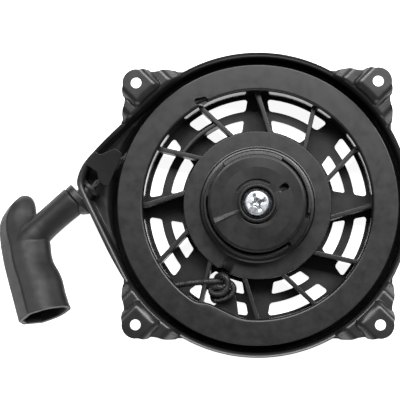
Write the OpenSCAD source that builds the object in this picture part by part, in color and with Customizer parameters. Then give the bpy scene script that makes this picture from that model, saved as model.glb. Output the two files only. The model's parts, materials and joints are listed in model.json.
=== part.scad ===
// Recoil starter for a small engine. The origin is the centre of the four mounting holes, on the
// mounting face. +Z points to the engine, and the pulley turns about Z. Millimetres.

/* [Mounting] */
// Spacing of the four mounting holes, both ways
hole_spacing = 146; // [144:1:147]
// Diameter of a mounting hole
hole_d = 6.5; // [5.5:0.5:7]
// Radius of an ear's tip round its hole
ear_r = 8.4; // [8:0.1:9]
// Half width of an ear's flat pad
pad_half = 9.5; // [9:0.5:11]

/* [Housing] */
// Thickness of the stamped sheet
sheet = 1.5; // [1.2:0.1:1.6]
// Outer radius of the wall
wall_r = 93; // [91:0.5:93]
// Depth from the mounting face to the outside of the dome
depth = 40; // [40:0.5:42]
// Drop from the mounting face to the open rim between the ears
rim_drop = 12; // [11:0.5:12.5]
// Radius of the dome's flat
flat_r = 74; // [72:1:75]
// Number of webs between the vents
web_count = 8; // [6:1:9]
// Width of a web at the inner vents
web_w = 19; // [16:1:20]
// Narrowing of a web for each millimetre outwards
web_taper = 0.354; // [0.2:0.05:0.4]

/* [Pulley] */
// Outer radius of the upper rope flange
ring_r = 86; // [85:0.5:87]
// Inner radius of the drum
drum_r = 69.7; // [69:0.1:70]
// Drop from the mounting face to the top of the upper flange
ring_drop = 14; // [13.5:0.5:15]
// Radius of the hub disc
hub_r = 45.5; // [45:0.5:46]
// Number of straight ribs between hub and drum
rib_count = 12; // [8:1:14]
// Thickness of a rib
rib_w = 2.8; // [2:0.2:3.2]
// Radius of the boss that holds the dogs
boss_r = 32.8; // [32.5:0.1:33]

/* [Clutch] */
// Radius of the retainer's disc
retainer_r = 29.8; // [29:0.1:30]
// Distance from the axis to a dog's pivot
pivot_r = 22; // [21.5:0.1:22.5]
// Direction of the first dog's pivot
pivot_angle = -75; // [-77:1:-73]
// Length of a dog from pivot to tip
dog_len = 24.5; // [23:0.5:25]
// How far the dogs swing out
dog_swing = 25; // [20:1:26]
// How far the retainer turns to swing them
retainer_turn = 30; // [26:1:32]
// Diameter of the centre screw's head
head_d = 14.5; // [13:0.5:15]

/* [Rope and handle] */
// Diameter of the rope
rope_d = 4.1; // [3.5:0.1:4.2]
// Direction in which the rope is pulled
pull_angle = 222.5; // [220:0.5:225]
// Radius at which the rope leaves the pulley
rope_r = 76.6; // [75:0.1:78]
// Distance along the rope line to the middle of the grip
grip_t = 118.4; // [116:0.2:122]
// Length of the grip's long arm
long_arm = 48; // [44:1:52]
// Angle of the grip against the rope, from square
rake = 26; // [20:1:32]
// Roll of the grip about the rope
roll = 20; // [0:1:20]

/* [Hidden] */
$fn = 96;

// Levels, all below the mounting face
rim_z = -rim_drop;
dome_z = -depth;
floor_z = dome_z + sheet;
dimple_h = 2;
ring_z = -ring_drop;
flange_t = 2.2;
groove_w = 5.6;
groove_r = 71.8;
rope_z = ring_z - flange_t - groove_w / 2;
low_flange_z = ring_z - 2 * flange_t - groove_w;
drum_low = dome_z + 4;
hub_z = -20;
hub_plate = 4;
cavity_top = hub_z - hub_plate;
boss_z = -15;
boss_wall_z = -8.4;
dog_z = [-13.4, -9];
retainer_z = [-8, -3];
groove_top = -5.4;
shoulder_z = -24.8;
post_top = -4.2;
washer_top = -3.2;
recess_z = post_top - 0.15;
cover_z = [drum_low + 0.2, drum_low + 1.1];
spring_z = [drum_low + 1.6, shoulder_z - 0.4];

// Radii
post_r = 7;
post_low_r = 8.6;
post_hole_r = 6.5;
collar_r = 12.4;
screw_r = 3;
bush_r = 9.2;
running = 0.05;
pin_r = 2.5;
cam_pin_r = 1.6;
cover_screw_r = 39.2;
bore_r = 2.7;
eyelet_hole_r = 5.6;
neck_bore_r = 2.6;
wall_t = 2;
hub_wall = 2.2;
grip_wall = 3;

// Directions of the rope line and of the grip
pull = [cos(pull_angle), sin(pull_angle), 0];
rope_start = [rope_r * cos(pull_angle - 90), rope_r * sin(pull_angle - 90), rope_z];
side = [-pull[1], pull[0], 0];
rolled = side * cos(roll) + [0, 0, sin(roll)];
bar = rolled * cos(rake) + pull * sin(rake);
out = pull * cos(rake) - rolled * sin(rake);
up = cross(bar, out);
grip_mid = on_rope(grip_t);
neck_t = 84.3;
neck_side = 2.8;
seat_t = 116;
eyelet_t = [76.4, 83.6];
eyelet_in_t = 67;
ferrule_r = 9.7;
ferrule_flat = 0.72;

// Housing nose: its two walls run on as tangents from the round wall
nose_low_angle = 206.5;
nose_up_len = 51;
nose_low_len = 60;
nose_floor = -29;
nose_tip = [-105.8, 24.5];

function polar(r, a) = [r * cos(a), r * sin(a)];
function on_rope(t) = rope_start + pull * t;
function unit(v) = v / norm(v);
function cross2(a, b) = a[0] * b[1] - a[1] * b[0];
function turned(p, a) = [p[0] * cos(a) - p[1] * sin(a), p[0] * sin(a) + p[1] * cos(a)];
// Where the line from p along r meets the line from q along s
function meet(p, r, q, s) = p + r * cross2(q - p, s) / cross2(r, s);
// A convex outline, counter-clockwise, with every side moved in by d
function inset(pts, d) = let (n = len(pts)) [for (i = [0:n - 1])
    let (a = pts[(i + n - 1) % n], b = pts[i], c = pts[(i + 1) % n],
        r = unit(b - a), s = unit(c - b))
    meet(b + [-r[1], r[0]] * d, r, b + [-s[1], s[0]] * d, s)];
function arc(c, r, a0, a1, n) = [for (i = [0:n]) c + polar(r, a0 + (a1 - a0) * i / n)];
// The corner at b, between a and c, rounded to radius r
function fillet(a, b, c, r) = let (
    u = unit(a - b), v = unit(c - b), half = acos(u * v) / 2,
    centre = b + unit(u + v) * r / sin(half),
    p = b + u * r / tan(half), q = b + v * r / tan(half),
    a0 = atan2(p[1] - centre[1], p[0] - centre[0]),
    a1 = atan2(q[1] - centre[1], q[0] - centre[0]),
    turn = a1 - a0 > 180 ? a1 - a0 - 360 : a1 - a0 < -180 ? a1 - a0 + 360 : a1 - a0)
    arc(centre, r, a0, a0 + turn, 4);

module at_rope(t) {
    translate(on_rope(t)) rotate([0, 90, pull_angle]) children();
}

// A closed skin through rings of points, all with the same number of points
module loft(rings) {
    n = len(rings[0]);
    m = len(rings);
    first = [for (i = [0:n - 1]) i];
    last = [for (i = [n - 1:-1:0]) (m - 1) * n + i];
    lower = [for (k = [0:m - 2], i = [0:n - 1]) let (j = (i + 1) % n)
        [k * n + i, (k + 1) * n + j, k * n + j]];
    upper = [for (k = [0:m - 2], i = [0:n - 1]) let (j = (i + 1) % n)
        [k * n + i, (k + 1) * n + i, (k + 1) * n + j]];
    polyhedron(points = [for (r = rings) each r], faces = concat([first], [last], lower, upper),
        convexity = 6);
}

// A round tube of radius r swept along a route
module cord(route, r, sides = 8) {
    last = len(route) - 1;
    step = 360 / sides;
    loft([for (k = [0:last])
        let (d = unit(route[min(k + 1, last)] - route[max(k - 1, 0)]),
            x = unit(cross(d, abs(d[2]) > 0.9 ? [1, 0, 0] : [0, 0, 1])), y = cross(x, d))
        [for (i = [0:sides - 1]) route[k] + (x * cos(i * step) - y * sin(i * step)) * r]]);
}

// ---- Housing

// Section of the bowl: its outside line with t = 0, its inside line with t = sheet
corner_r = 6;
function bowl_line(t) = concat([[0, dome_z + dimple_h + t], [15 - t / 3, dome_z + dimple_h + t],
    [18 - t / 3, dome_z + t], [flat_r - t / 5, dome_z + t]],
    arc([wall_r - corner_r, dome_z + 10.5], corner_r - t, -70, 0, 6), [[wall_r - t, 0]]);

// Plan of the nose, counter-clockwise. Its walls start just inside the round wall.
nose_r = wall_r - 1.4;
nose = [polar(nose_r, nose_low_angle), polar(nose_r - 12, nose_low_angle - 20),
    polar(nose_r - 12, pull_angle - 70), polar(nose_r, pull_angle - 90),
    polar(nose_r, pull_angle - 90) + polar(nose_up_len, pull_angle),
    nose_tip, polar(nose_r, nose_low_angle) + polar(nose_low_len, nose_low_angle - 90)];

function web_half(r) = (web_w - web_taper * (r - 49.4)) / 2;
// One vent, with straight tapered ends and rounded corners
function vent(r0, r1) = let (half = 180 / web_count,
    e0 = half - asin(web_half(r0) / r0), e1 = half - asin(web_half(r1) / r1),
    a = polar(r0, -e0), b = polar(r1, -e1), c = polar(r1, e1), d = polar(r0, e0), inner = 0.7)
    concat(fillet(d, a, b, 2.2), fillet(a, b, polar(r1, -e1 * inner), 2.2),
        arc([0, 0], r1, -e1 * inner, e1 * inner, 6), fillet(polar(r1, e1 * inner), c, d, 2.2),
        fillet(c, d, a, 2.2), arc([0, 0], r0, e0 * inner, -e0 * inner, 6));

module vents(z, h) {
    for (i = [0:web_count - 1]) rotate((i + 0.5) * 360 / web_count) translate([0, 0, z])
        for (r = [[48, 55], [60.5, 68]]) linear_extrude(h) polygon(vent(r[0], r[1]));
}

// Plan of the four ears: a square with round corners, outside the wall
module ear_plan() {
    half = hole_spacing / 2;
    difference() {
        union() {
            square([2 * (half + ear_r), 2 * half], center = true);
            square([2 * half, 2 * (half + ear_r)], center = true);
            for (a = [45:90:315]) rotate(a) translate([half * sqrt(2), 0]) circle(ear_r);
        }
        circle(wall_r - sheet / 2);
    }
}

// Side view of an ear's top: a flat pad with a slope down to the rim each way
module ear_side(fill) {
    foot = pad_half + 19;
    low = fill ? 2 * rim_z : -sheet;
    polygon([[-foot, rim_z], [-pad_half, 0], [pad_half, 0], [foot, rim_z], [foot, rim_z + low],
        [pad_half, low], [-pad_half, low], [-foot, rim_z + low]]);
}

module ear_bars(fill) {
    for (a = [45:90:315]) rotate(a) translate([80, 0, 0])
        rotate([90, 0, 90]) linear_extrude(40) ear_side(fill);
}

module ears() {
    intersection() {
        ear_bars(false);
        translate([0, 0, rim_z - sheet]) linear_extrude(-rim_z + sheet) ear_plan();
    }
}

// All that is above the rim and the ears' slopes
module above_rim() {
    difference() {
        ring(80, 120, rim_z, 5);
        ear_bars(true);
    }
}

// The folded tab that keeps the rope under it
tab = [[-91.4, 13], [-83.6, 32.6], [-86.1, 34.6], [-89.1, 34.6], [-94.7, 31.4], [-100.6, 34],
    [-106.4, 24.4], [-101.4, 23.6], [-98.3, 18], [-97.1, 13.6], [-94, 12.4]];

module bowl() {
    line = bowl_line(sheet);
    rotate_extrude($fn = 180) polygon(concat(bowl_line(0), [for (i = [len(line) - 1:-1:0]) line[i]]));
}

// The hollow inside the nose, up to height h above its floor
module nose_hollow(h) {
    translate([0, 0, nose_floor + sheet]) linear_extrude(h) polygon(inset(nose, sheet));
}

module nose_shell() {
    difference() {
        translate([0, 0, nose_floor]) linear_extrude(rim_z - nose_floor) polygon(nose);
        nose_hollow(40);
        translate([0, 0, nose_floor - 1]) cylinder(r = wall_r - sheet / 2, h = 40);
    }
}

module starter_housing() {
    color("#1b1b1c") difference() {
        union() {
            difference() {
                bowl();
                above_rim();
                nose_hollow(rim_z - nose_floor - sheet);
            }
            nose_shell();
            translate([0, 0, rim_z - sheet]) linear_extrude(sheet) polygon(tab);
            ears();
        }
        for (x = [-1, 1], y = [-1, 1]) translate([x * hole_spacing / 2, y * hole_spacing / 2, -20])
            cylinder(d = hole_d, h = 30);
        vents(dome_z - 1, sheet + 2);
        translate([0, 0, dome_z - 1]) cylinder(r = post_hole_r, h = 10);
        at_rope(eyelet_in_t - 1) cylinder(r = eyelet_hole_r, h = 12);
    }
}

// The post is swaged over under the dome, and drilled for the centre screw
module centre_post() {
    color("#8b8d8f") difference() {
        union() {
            translate([0, 0, dome_z + 0.6]) cylinder(r1 = 7.6, r2 = 9, h = dimple_h - 0.6);
            translate([0, 0, dome_z + 1]) cylinder(r = post_hole_r, h = sheet + 2);
            translate([0, 0, floor_z + dimple_h]) cylinder(r = post_low_r + 1.6, h = 1.4);
            translate([0, 0, floor_z + dimple_h])
                cylinder(r = post_low_r, h = shoulder_z - floor_z - dimple_h);
            translate([0, 0, shoulder_z - 1]) cylinder(r = post_r, h = post_top - shoulder_z + 1);
        }
        translate([0, 0, post_top - 18]) cylinder(r = screw_r + 0.02, h = 20);
    }
}

module ring(r0, r1, z0, z1) {
    translate([0, 0, z0]) difference() {
        cylinder(r = r1, h = z1 - z0);
        translate([0, 0, -1]) cylinder(r = r0, h = z1 - z0 + 2);
    }
}

module thrust_washer() {
    color("#b9bcc0") ring(post_r + 0.1, 11.4, shoulder_z, cavity_top - 0.1);
}

module screw_washer() {
    color("#b9bcc0") ring(3.1, 9.2, post_top, washer_top);
}

// The eyelet's outer part is oval, low enough to pass under the lip of the nose
module ferrule() {
    rotate_extrude() polygon([[4, 0], [ferrule_r, 0], [ferrule_r, 3.8], [6.4, eyelet_t[1] - eyelet_t[0]],
        [4, eyelet_t[1] - eyelet_t[0]]]);
}

module rope_eyelet() {
    color("#121212") difference() {
        union() {
            at_rope(eyelet_t[0]) scale([ferrule_flat, 1, 1]) ferrule();
            at_rope(eyelet_in_t + 1) cylinder(r = eyelet_hole_r - 0.1, h = 10);
            at_rope(eyelet_in_t) cylinder(r = 7.4, h = 2.7);
        }
        at_rope(60) cylinder(r = bore_r, h = 30);
    }
}

head_h = 3.6;
head_side = head_h * 0.55;
module centre_screw() {
    color("#c9ccd0") difference() {
        union() {
            translate([0, 0, post_top - 14]) cylinder(r = screw_r, h = 15 + washer_top - post_top);
            translate([0, 0, washer_top]) cylinder(d = head_d, h = head_side);
            translate([0, 0, washer_top + head_side])
                cylinder(d1 = head_d, d2 = head_d - 3, h = head_h - head_side);
        }
        for (a = [20, 110]) rotate(a)
            translate([-3.6, -0.8, washer_top + head_h - 2]) cube([7.2, 1.6, 3]);
    }
}

// ---- Rope

run_t = [37.4, seat_t + 1.5];
module rope_run() {
    color("#161616")
        cord([for (i = [0:10]) on_rope(run_t[0] + (run_t[1] - run_t[0]) * i / 10)], rope_d / 2);
}

// Three turns, each lying in the gap of the one inside it
coil_r0 = groove_r + 0.1;
module rope_coil() {
    color("#161616")
        ring(coil_r0, coil_r0 + 2.7 * rope_d, rope_z - rope_d / 2, rope_z + rope_d / 2);
}

knot_at = [-21.7, -49.6, -24];
strand = [[-52.6, -47.6, rope_z], [-46, -49, -20.5], [-38, -50, -22.5], [-30, -50, -23.5],
    [-25, -49.8, -24]];
module pulley_knot() {
    color("#161616") {
        cord(strand, rope_d / 2);
        translate(knot_at) sphere(6.2, $fn = 48);
    }
}

// ---- Pulley

module pulley_profile() {
    top = ring_z;
    polygon([[drum_r, drum_low], [groove_r, drum_low], [groove_r, low_flange_z - 3],
        [groove_r + 3, low_flange_z], [ring_r - 1, low_flange_z], [ring_r - 1, low_flange_z + flange_t],
        [groove_r, low_flange_z + flange_t], [groove_r, top - flange_t], [ring_r, top - flange_t],
        [ring_r, top - 0.6], [ring_r - 0.6, top], [drum_r + 1.6, top], [drum_r + 0.4, top - 0.5],
        [drum_r, top - 1.6]]);
}

module ribs() {
    twist = 10.5;
    for (i = [0:rib_count - 1]) {
        a = i * 360 / rib_count;
        p = polar(hub_r - 1, a - twist);
        q = polar(drum_r + 1, a);
        translate([p[0], p[1], drum_low]) rotate(atan2(q[1] - p[1], q[0] - p[0]))
            translate([0, -rib_w / 2, 0]) cube([norm(q - p), rib_w, hub_z - drum_low]);
    }
    rotate(114) rotate_extrude(angle = 30) translate([55, drum_low]) square([2.4, hub_z - drum_low - 2]);
}

dog_gap = [-54, -10];
module boss() {
    translate([0, 0, hub_z - 1]) cylinder(r = boss_r, h = boss_z - hub_z + 1);
    difference() {
        ring(boss_r - wall_t, boss_r, boss_z - 1, boss_wall_z);
        for (a = [0, 180]) rotate(a + dog_gap[0]) translate([0, 0, boss_z])
            rotate_extrude(angle = dog_gap[1] - dog_gap[0]) translate([20, 0]) square([20, 20]);
    }
}

module pulley() {
    color("#1d1d1e") difference() {
        union() {
            rotate_extrude($fn = 180) pulley_profile();
            ribs();
            ring(hub_r - hub_wall, hub_r, drum_low, hub_z);
            translate([0, 0, cavity_top]) cylinder(r = hub_r, h = hub_plate);
            boss();
            for (a = [0, 180]) rotate(a) translate(concat(polar(pivot_r, pivot_angle), boss_z - 1))
                cylinder(r = pin_r, h = dog_z[1] + 0.3 - boss_z + 1);
            for (a = [60:120:300]) rotate(a) translate([cover_screw_r, 0, drum_low + 1.2])
                cylinder(r = 3.6, h = cavity_top - drum_low);
        }
        translate([0, 0, cavity_top - 1]) cylinder(r = bush_r, h = 20);
        translate(concat(polar(hub_r + 2.5, -115), cavity_top - 3)) cylinder(r = 8.5, h = 10);
        translate(strand[0]) rotate([0, 90, -8]) translate([0, 0, -4]) cylinder(r = neck_bore_r, h = 9);
        for (a = [60:120:300]) rotate(a) translate([cover_screw_r, 0, drum_low - 1])
            cylinder(r = 1.52, h = 10);
        rotate(118) translate([drum_r - 1, 0, ring_z - 4]) cylinder(r = 2.4, h = 10);
    }
}

module hub_bushing() {
    color("#b08d4a") ring(post_r + running, bush_r, cavity_top, boss_z);
}

module spring_cover() {
    color("#9a9ca0") difference() {
        ring(13.5, hub_r - hub_wall - 0.1, cover_z[0], cover_z[1]);
        for (a = [60:120:300]) rotate(a) translate([cover_screw_r, 0, drum_low - 1])
            cylinder(r = 1.7, h = 5);
    }
}

module cover_screws() {
    color("#b9bcc0") for (a = [60:120:300]) rotate(a) translate([cover_screw_r, 0, 0]) {
        translate([0, 0, drum_low - 1.2]) cylinder(r = 2.9, h = 1.3);
        translate([0, 0, drum_low - 0.2]) cylinder(r = 1.5, h = 8);
    }
}

// Flat spiral strip, from the post out to the hub wall
spring_turns = 8;
spring_t = 0.9;
spring_r = [9.2, 33.6];
spring_steps = 20 * spring_turns;
function spiral(side) = [for (i = [0:spring_steps])
    polar(spring_r[0] + side * spring_t + (spring_r[1] - spring_r[0]) * i / spring_steps, 18 * i)];
module rewind_spring() {
    inside = spiral(0);
    outside = spiral(1);
    color("#3b4350") translate([0, 0, spring_z[0]]) linear_extrude(spring_z[1] - spring_z[0])
        polygon(concat(inside, [for (i = [spring_steps:-1:0]) outside[i]]));
}

// ---- Clutch

pivot = polar(pivot_r, pivot_angle);
dog_angle = 27;
tip = pivot + polar(dog_len, dog_angle);
cam_pin = pivot + polar(12, dog_angle + 5);

module dog_shape() {
    difference() {
        union() {
            translate([0, 0, dog_z[0]]) linear_extrude(dog_z[1] - dog_z[0]) {
                translate(pivot) circle(4.8);
                polygon([pivot + polar(4.7, dog_angle - 90), pivot + polar(16, dog_angle - 14),
                    pivot + polar(dog_len, dog_angle - 7), pivot + polar(dog_len, dog_angle + 1.5),
                    pivot + polar(19, dog_angle + 11), pivot + polar(12, dog_angle + 19),
                    pivot + polar(4.7, dog_angle + 90)]);
            }
            translate(concat(cam_pin, dog_z[1] - 1))
                cylinder(r = cam_pin_r, h = groove_top - dog_z[1] + 0.7);
        }
        translate(concat(pivot, -20)) cylinder(r = pin_r + running, h = 20);
    }
}
module dog_a() { color("#202021") dog_shape(); }
module dog_b() { color("#202021") rotate(180) dog_shape(); }

module dog_spring() {
    translate(concat(pivot, 0)) {
        ring(2.9, 4.1, boss_z + 0.1, dog_z[0] - 0.2);
        rotate(dog_angle) translate([0, -4.1, boss_z + 0.1]) cube([9, 1, dog_z[0] - boss_z - 0.3]);
    }
}
module dog_spring_a() { color("#a9acb0") dog_spring(); }
module dog_spring_b() { color("#a9acb0") rotate(180) dog_spring(); }

// Where the dog's pin is in the retainer, when the retainer has turned by a
function cam_path(a) = turned(pivot + turned(cam_pin - pivot, -a * dog_swing / retainer_turn), a);
cam_steps = 12;
cam_a = [for (i = [0:cam_steps]) retainer_turn * i / cam_steps];
function cam_normal(a) = let (d = unit(cam_path(a + 0.5) - cam_path(a - 0.5))) [-d[1], d[0]];

module cam_groove() {
    w = cam_pin_r + 0.15;
    polygon(concat([for (a = cam_a) cam_path(a) + cam_normal(a) * w],
        [for (i = [cam_steps:-1:0]) cam_path(cam_a[i]) - cam_normal(cam_a[i]) * w]));
    for (a = [0, retainer_turn]) translate(cam_path(a)) circle(w);
}

// Lobes on the retainer's edge: first angle, sweep and outer radius
lobes = [[-50, 33, 33.4], [60, 71, 32.3]];
lobe_h = 3.4;
module retainer() {
    color("#1f1f20") difference() {
        union() {
            ring(post_r + 0.08, retainer_r, retainer_z[0], retainer_z[1]);
            ring(10, collar_r, retainer_z[1] - 1, retainer_z[1] + 2);
            for (l = lobes) rotate(l[0]) translate([0, 0, retainer_z[0]]) rotate_extrude(angle = l[1])
                translate([retainer_r - 1, 0]) square([l[2] - retainer_r + 1, lobe_h]);
        }
        translate([0, 0, recess_z]) cylinder(r = 9.6, h = 6);
        for (a = [0, 180]) rotate(a) translate([0, 0, retainer_z[0] - 1])
            linear_extrude(groove_top - retainer_z[0] + 1) cam_groove();
        rotate(30) {
            translate([19.4, 0, retainer_z[1] - 2]) cylinder(r = 1.8, h = 3);
            translate([12, -0.4, retainer_z[1] - 1]) cube([7, 0.8, 2]);
        }
        ring(13.3, 14, retainer_z[1] - 0.8, retainer_z[1] + 1);
    }
}

// Light coil that presses the retainer against the washer
coil_turns = 4;
coil_r = 10.6;
wire_r = 0.6;
module friction_spring() {
    h = retainer_z[0] - boss_z - 2 * wire_r - 0.3;
    color("#a9acb0") cord([for (i = [0:18 * coil_turns])
        concat(polar(coil_r, 20 * i), boss_z + wire_r + 0.15 + h * i / (18 * coil_turns))], wire_r);
}

// ---- Handle

// Reach of the grip to its back and its front, and its half height, at distances along it
grip_back = [[-32.6, 1], [-31, 4.8], [-29.4, 7.8], [-26.6, 11], [-22.5, 14.8], [-18.3, 17.3], [-12, 18.8],
    [-3, 19.4], [10, 19.4], [22, 18.7], [48, 17], [52, 16.8]];
grip_front = [[-32.6, 1.4], [-31, 3.4], [-29.4, 5], [-27, 6.6], [-24, 7.4], [-16, 6.4], [-9, 6.8], [-1, 11.4],
    [4, 11.5], [11, 10.5], [18, 11.5], [28, 14.4], [36, 14.3], [48, 15.9], [52, 16.4]];
grip_half = [[-32.6, 1.2], [-31, 3.4], [-29.4, 4.9], [-27, 6.5], [-22, 7.7], [-14, 8], [-6, 9.4], [2, 10.4],
    [12, 10.6], [48, 11.6], [52, 11.8]];
function power(v, e) = sign(v) * pow(abs(v), e);
function grip_ring(s, wall = 0) = let (b = lookup(s, grip_back) - wall, f = lookup(s, grip_front) - wall)
    [for (i = [0:23]) let (c = cos(15 * i), d = sin(15 * i))
        grip_mid + bar * s + out * ((b - f) / 2 + (b + f) / 2 * power(c, 0.7))
        + up * ((lookup(s, grip_half) - wall) * power(d, 0.7))];

// The neck leaves the rope's line a little to one side
module neck() {
    translate(-neck_side * rolled) at_rope(neck_t) cylinder(r1 = 8.1, r2 = 9.4, h = 34);
}

module handle_grip() {
    stations = concat([-32.6, -31, -29.4, -27, -24, -20], [for (s = [-16:8:long_arm - 8]) s], [long_arm]);
    color("#2a2a2b") difference() {
        union() {
            difference() {
                union() {
                    loft([for (s = stations) grip_ring(s)]);
                    neck();
                }
                loft([for (s = [-5, 4, 16, 28, 40, long_arm + 2]) grip_ring(s, grip_wall)]);
            }
            at_rope(neck_t + 10) cylinder(r = 7, h = seat_t - neck_t - 10);
        }
        at_rope(neck_t - 5) cylinder(r = neck_bore_r, h = 50);
    }
}

module grip_washer() {
    color("#b9bcc0") difference() {
        at_rope(seat_t) cylinder(r = 6.6, h = 1.5);
        at_rope(seat_t - 2) cylinder(r = neck_bore_r, h = 6);
    }
}

knot_r = 5;
module grip_knot() {
    color("#161616") translate(on_rope(seat_t + 1.55 + knot_r)) sphere(knot_r, $fn = 48);
}

starter_housing();
centre_post();
thrust_washer();
rope_eyelet();
centre_screw();
screw_washer();
rope_run();
pulley();
hub_bushing();
rewind_spring();
spring_cover();
cover_screws();
rope_coil();
pulley_knot();
dog_a();
dog_b();
dog_spring_a();
dog_spring_b();
retainer();
friction_spring();
handle_grip();
grip_washer();
grip_knot();
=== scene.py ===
import json
import math

import bmesh
import bpy
from mathutils import Matrix, Vector


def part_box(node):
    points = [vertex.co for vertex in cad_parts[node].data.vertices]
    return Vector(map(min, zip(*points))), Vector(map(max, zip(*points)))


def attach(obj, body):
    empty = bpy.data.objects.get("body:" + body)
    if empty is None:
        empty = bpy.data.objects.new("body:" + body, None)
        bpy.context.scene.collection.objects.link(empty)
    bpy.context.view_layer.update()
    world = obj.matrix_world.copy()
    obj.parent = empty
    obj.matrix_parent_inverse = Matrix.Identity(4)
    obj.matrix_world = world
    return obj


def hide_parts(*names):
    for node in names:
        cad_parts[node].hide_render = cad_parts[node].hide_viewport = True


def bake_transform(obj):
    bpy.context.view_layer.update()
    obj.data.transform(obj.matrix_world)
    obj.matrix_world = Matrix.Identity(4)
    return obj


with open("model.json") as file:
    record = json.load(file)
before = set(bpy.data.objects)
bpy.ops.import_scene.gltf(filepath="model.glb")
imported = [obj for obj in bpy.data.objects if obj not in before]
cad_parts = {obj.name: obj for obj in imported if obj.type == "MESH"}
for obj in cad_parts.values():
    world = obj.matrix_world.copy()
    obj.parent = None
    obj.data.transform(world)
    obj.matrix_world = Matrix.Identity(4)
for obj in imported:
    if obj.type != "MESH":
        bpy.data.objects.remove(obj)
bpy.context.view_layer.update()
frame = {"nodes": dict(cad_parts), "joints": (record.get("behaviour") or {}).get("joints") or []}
mm = 0.001
tau = 2 * math.pi
bpy.context.scene.view_settings.view_transform = "Standard"
bpy.context.scene.view_settings.look = "None"


# ---- places that the frame gives

joints = {joint["name"]: joint for joint in frame["joints"]}
pullDir = Vector(joints["handle_pull"]["axis"]).normalized()
pullSide = Vector((-pullDir.y, pullDir.x, 0))
pullAngle = math.degrees(math.atan2(pullDir.y, pullDir.x))
eyeletLow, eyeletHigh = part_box("rope_eyelet")
ropeZ = (eyeletLow.z + eyeletHigh.z) / 2
ropeRadius = 76.6 * mm  # where the rope leaves the pulley
leaveTurn = math.radians(pullAngle - 90)
ropeStart = Vector((math.cos(leaveTurn), math.sin(leaveTurn), 0)) * ropeRadius
ropeStart.z = ropeZ
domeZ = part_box("starter_housing")[0].z


def onRope(t):
    return ropeStart + pullDir * t


def polar(radius, degrees, z=0.0):
    turn = math.radians(degrees)
    return Vector((radius * math.cos(turn), radius * math.sin(turn), z))


def ropeMatrix(t):  # t in mm; local Z runs out along the rope
    turn = Matrix((pullSide, Vector((0, 0, 1)), pullDir)).transposed()
    return Matrix.Translation(onRope(t * mm)) @ turn.to_4x4()


def easeStep(x, low, high):
    x = max(0.0, min(1.0, (x - low) / (high - low)))
    return x * x * (3 - 2 * x)


# ---- materials

def linearColour(code):
    channels = [int(code[i:i + 2], 16) / 255 for i in (1, 3, 5)]
    linear = [c / 12.92 if c <= 0.04045 else ((c + 0.055) / 1.055) ** 2.4 for c in channels]
    return (*linear, 1.0)


def addNode(tree, kind, settings=None, links=None):
    node = tree.nodes.new(kind)
    for key, value in (settings or {}).items():
        if isinstance(key, int) or key in node.inputs:
            node.inputs[key].default_value = value
        else:
            setattr(node, key, value)
    for key, socket in (links or {}).items():
        tree.links.new(socket, node.inputs[key])
    return node


def newMaterial(name, settings):
    material = bpy.data.materials.new(name)
    material.use_nodes = True
    tree = material.node_tree
    shader = next(node for node in tree.nodes if node.type == "BSDF_PRINCIPLED")
    for key, value in settings.items():
        shader.inputs[key].default_value = value
    return material, tree, shader


def colourRamp(tree, source, stops):
    ramp = addNode(tree, "ShaderNodeValToRGB", {}, {0: source})
    while len(ramp.color_ramp.elements) < len(stops):
        ramp.color_ramp.elements.new(0.5)
    for element, (place, colour) in zip(ramp.color_ramp.elements, stops):
        element.position = place
        element.color = colour
    return ramp.outputs[0]


def tint(tree, shader, source, dark, light, darkAt=0.3, lightAt=0.7):
    shade = colourRamp(tree, source, [(darkAt, linearColour(dark)), (lightAt, linearColour(light))])
    tree.links.new(shade, shader.inputs["Base Color"])


def roughen(tree, shader, source, low, high, fromLow=0.3, fromHigh=0.7):
    settings = {1: fromLow, 2: fromHigh, 3: low, 4: high}
    node = addNode(tree, "ShaderNodeMapRange", settings, {0: source})
    tree.links.new(node.outputs[0], shader.inputs["Roughness"])


def objectCoords(tree):
    return addNode(tree, "ShaderNodeTexCoord").outputs["Object"]


def noiseAt(tree, sizeMm, detail=3.0, roughness=0.5):
    settings = {"Scale": 1 / (sizeMm * mm), "Detail": detail, "Roughness": roughness}
    return addNode(tree, "ShaderNodeTexNoise", settings, {"Vector": objectCoords(tree)}).outputs[0]


def bump(tree, shader, height, depthMm, strength, normal=None):
    links = {"Height": height}
    if normal:
        links["Normal"] = normal
    node = addNode(tree, "ShaderNodeBump", {"Strength": strength, "Distance": depthMm * mm}, links)
    tree.links.new(node.outputs[0], shader.inputs["Normal"])
    return node.outputs[0]


def makeEcoatSteel():
    # Electrocoated pressed steel: a thin glossy black film with a faint orange peel
    settings = {"IOR": 1.5, "Specular IOR Level": 0.5, "Metallic": 0.0}
    material, tree, shader = newMaterial("electrocoatedSteel", settings)
    tint(tree, shader, noiseAt(tree, 22, 3), "#151516", "#202021")
    roughen(tree, shader, noiseAt(tree, 9, 5, 0.6), 0.3, 0.4)
    peel = bump(tree, shader, noiseAt(tree, 1.6, 2), 0.03, 0.5)
    bump(tree, shader, noiseAt(tree, 24, 1), 0.12, 0.5, peel)  # the slight waves of pressed sheet
    return material


def makeGlassNylon(name, low, high, base, gloss=0.5):
    # Moulded glass-filled nylon: satin, a little cloudy where the fibres lie near the surface
    material, tree, shader = newMaterial(name, {"IOR": 1.52, "Specular IOR Level": gloss})
    tint(tree, shader, noiseAt(tree, 14, 4), *base)
    roughen(tree, shader, noiseAt(tree, 6, 6, 0.65), low, high)
    bump(tree, shader, noiseAt(tree, 0.7, 3), 0.02, 0.35)
    return material


def makeZinc():
    # Bright zinc plate on a formed screw head: silvery, soft swirls left by the heading die
    material, tree, shader = newMaterial("brightZinc", {"Metallic": 1.0})
    tint(tree, shader, noiseAt(tree, 3, 4), "#8e9196", "#c6c8cb")
    roughen(tree, shader, noiseAt(tree, 0.9, 5), 0.34, 0.56)
    bump(tree, shader, noiseAt(tree, 1.6, 4), 0.06, 0.5)
    return material


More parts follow.
